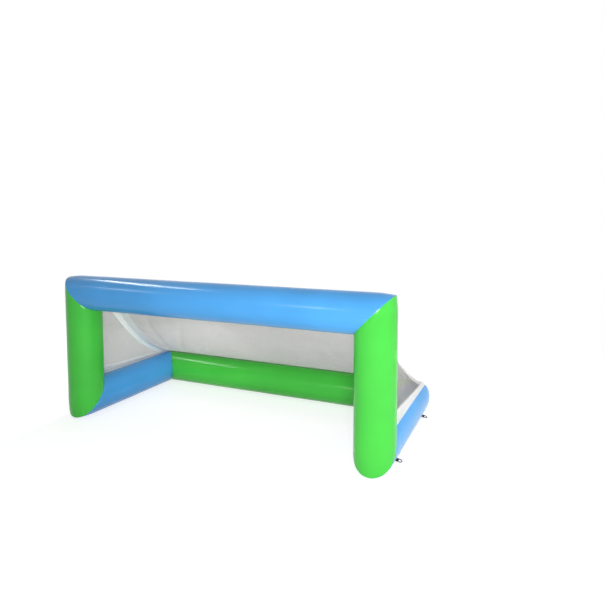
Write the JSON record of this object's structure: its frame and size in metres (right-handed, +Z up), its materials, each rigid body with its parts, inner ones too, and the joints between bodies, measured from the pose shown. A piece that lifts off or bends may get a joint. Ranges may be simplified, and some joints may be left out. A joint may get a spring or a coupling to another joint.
{
  "type": "inflatable soccer goal",
  "caption": "Low inflatable soccer goal: welded air tubes in a box-shaped frame, a sagging mesh net on bands, ground anchors and an inflation valve.",
  "frame": {"origin": "on the ground under the middle of the tube frame's outer box", "axes": "+X along the crossbar towards the right post as seen from in front of the mouth, +Y from the mouth towards the rear bar, +Z up"},
  "size_m": [2.38, 1.16, 1],
  "materials": {
    "blue_pvc": "glossy PVC-coated tarpaulin, taut with air",
    "green_pvc": "glossy PVC-coated tarpaulin, taut with air",
    "weld_tape": "milky PVC tape, welded",
    "white_mesh": "fine knitted polyester mesh, see-through",
    "white_band": "satin PVC-coated tarpaulin",
    "black_pvc": "satin PVC-coated tarpaulin",
    "black_webbing": "woven polyester webbing",
    "coated_steel": "black coated steel wire",
    "valve_soft": "moulded soft PVC",
    "valve_hard": "moulded hard plastic",
    "spring_steel": "bright spring wire",
    "valve_rubber": "moulded rubber"
  },
  "bodies": {
    "goal": {"crossbar_tube": "blue_pvc", "left_post_tube": "green_pvc", "right_post_tube": "green_pvc", "left_ground_tube": "blue_pvc", "right_ground_tube": "blue_pvc", "rear_ground_tube": "green_pvc", "front_left_foot_weld_tape": "weld_tape", "front_right_foot_weld_tape": "weld_tape", "top_left_weld_tape": "weld_tape", "top_right_weld_tape": "weld_tape", "rear_left_weld_tape": "weld_tape", "rear_right_weld_tape": "weld_tape", "back_net": "white_mesh", "left_side_net": "white_mesh", "right_side_net": "white_mesh", "left_corner_band": "white_band", "right_corner_band": "white_band", "left_ground_hem": "white_band", "right_ground_hem": "white_band", "rear_ground_hem": "white_band", "left_post_hem": "white_band", "right_post_hem": "white_band", "crossbar_hem": "white_band", "left_front_anchor_patch": "black_pvc", "left_rear_anchor_patch": "black_pvc", "right_front_anchor_patch": "black_pvc", "right_rear_anchor_patch": "black_pvc", "left_front_anchor_loop": "black_webbing", "left_rear_anchor_loop": "black_webbing", "right_front_anchor_loop": "black_webbing", "right_rear_anchor_loop": "black_webbing", "valve_base": "valve_soft", "valve_core": "valve_hard", "valve_spring": "spring_steel"},
    "left_front_ring": {"left_front_anchor_ring": "coated_steel"},
    "left_rear_ring": {"left_rear_anchor_ring": "coated_steel"},
    "right_front_ring": {"right_front_anchor_ring": "coated_steel"},
    "right_rear_ring": {"right_rear_anchor_ring": "coated_steel"},
    "gasket": {"valve_cap_gasket": "valve_rubber"},
    "cap": {"valve_cap": "valve_soft"},
    "poppet": {"valve_poppet": "valve_hard"}
  },
  "joints": [
    {"name": "left_front_ring_swing", "type": "hinge", "parent": "goal", "child": "left_front_ring", "pos_m": [-1.1596, -0.29, 0.0078], "axis": [0, 1, 0], "range_deg": [0, 95]},
    {"name": "left_rear_ring_swing", "type": "hinge", "parent": "goal", "child": "left_rear_ring", "pos_m": [-1.1596, 0.44, 0.0078], "axis": [0, 1, 0], "range_deg": [0, 95]},
    {"name": "right_front_ring_swing", "type": "hinge", "parent": "goal", "child": "right_front_ring", "pos_m": [1.1596, -0.29, 0.0078], "axis": [0, -1, 0], "range_deg": [0, 95]},
    {"name": "right_rear_ring_swing", "type": "hinge", "parent": "goal", "child": "right_rear_ring", "pos_m": [1.1596, 0.44, 0.0078], "axis": [0, -1, 0], "range_deg": [0, 95]},
    {"name": "cap_lift", "type": "slide", "parent": "goal", "child": "gasket", "axis": [0, 1, 0], "range_m": [0, 0.008]},
    {"name": "cap_turn", "type": "hinge", "parent": "gasket", "child": "cap", "pos_m": [-1.07, -0.34, 0.45], "axis": [0, 1, 0], "range_deg": [0, 720]},
    {"name": "poppet_push", "type": "slide", "parent": "goal", "child": "poppet", "axis": [0, -1, 0], "range_m": [0, 0.003], "stiffness_N_per_m": 150, "springref_m": -0.003, "deforming": ["valve_spring"]}
  ],
  "couplings": [
    {"joint": "cap_lift", "follows": "cap_turn", "m_per_rad": 0.00063662}
  ]
}
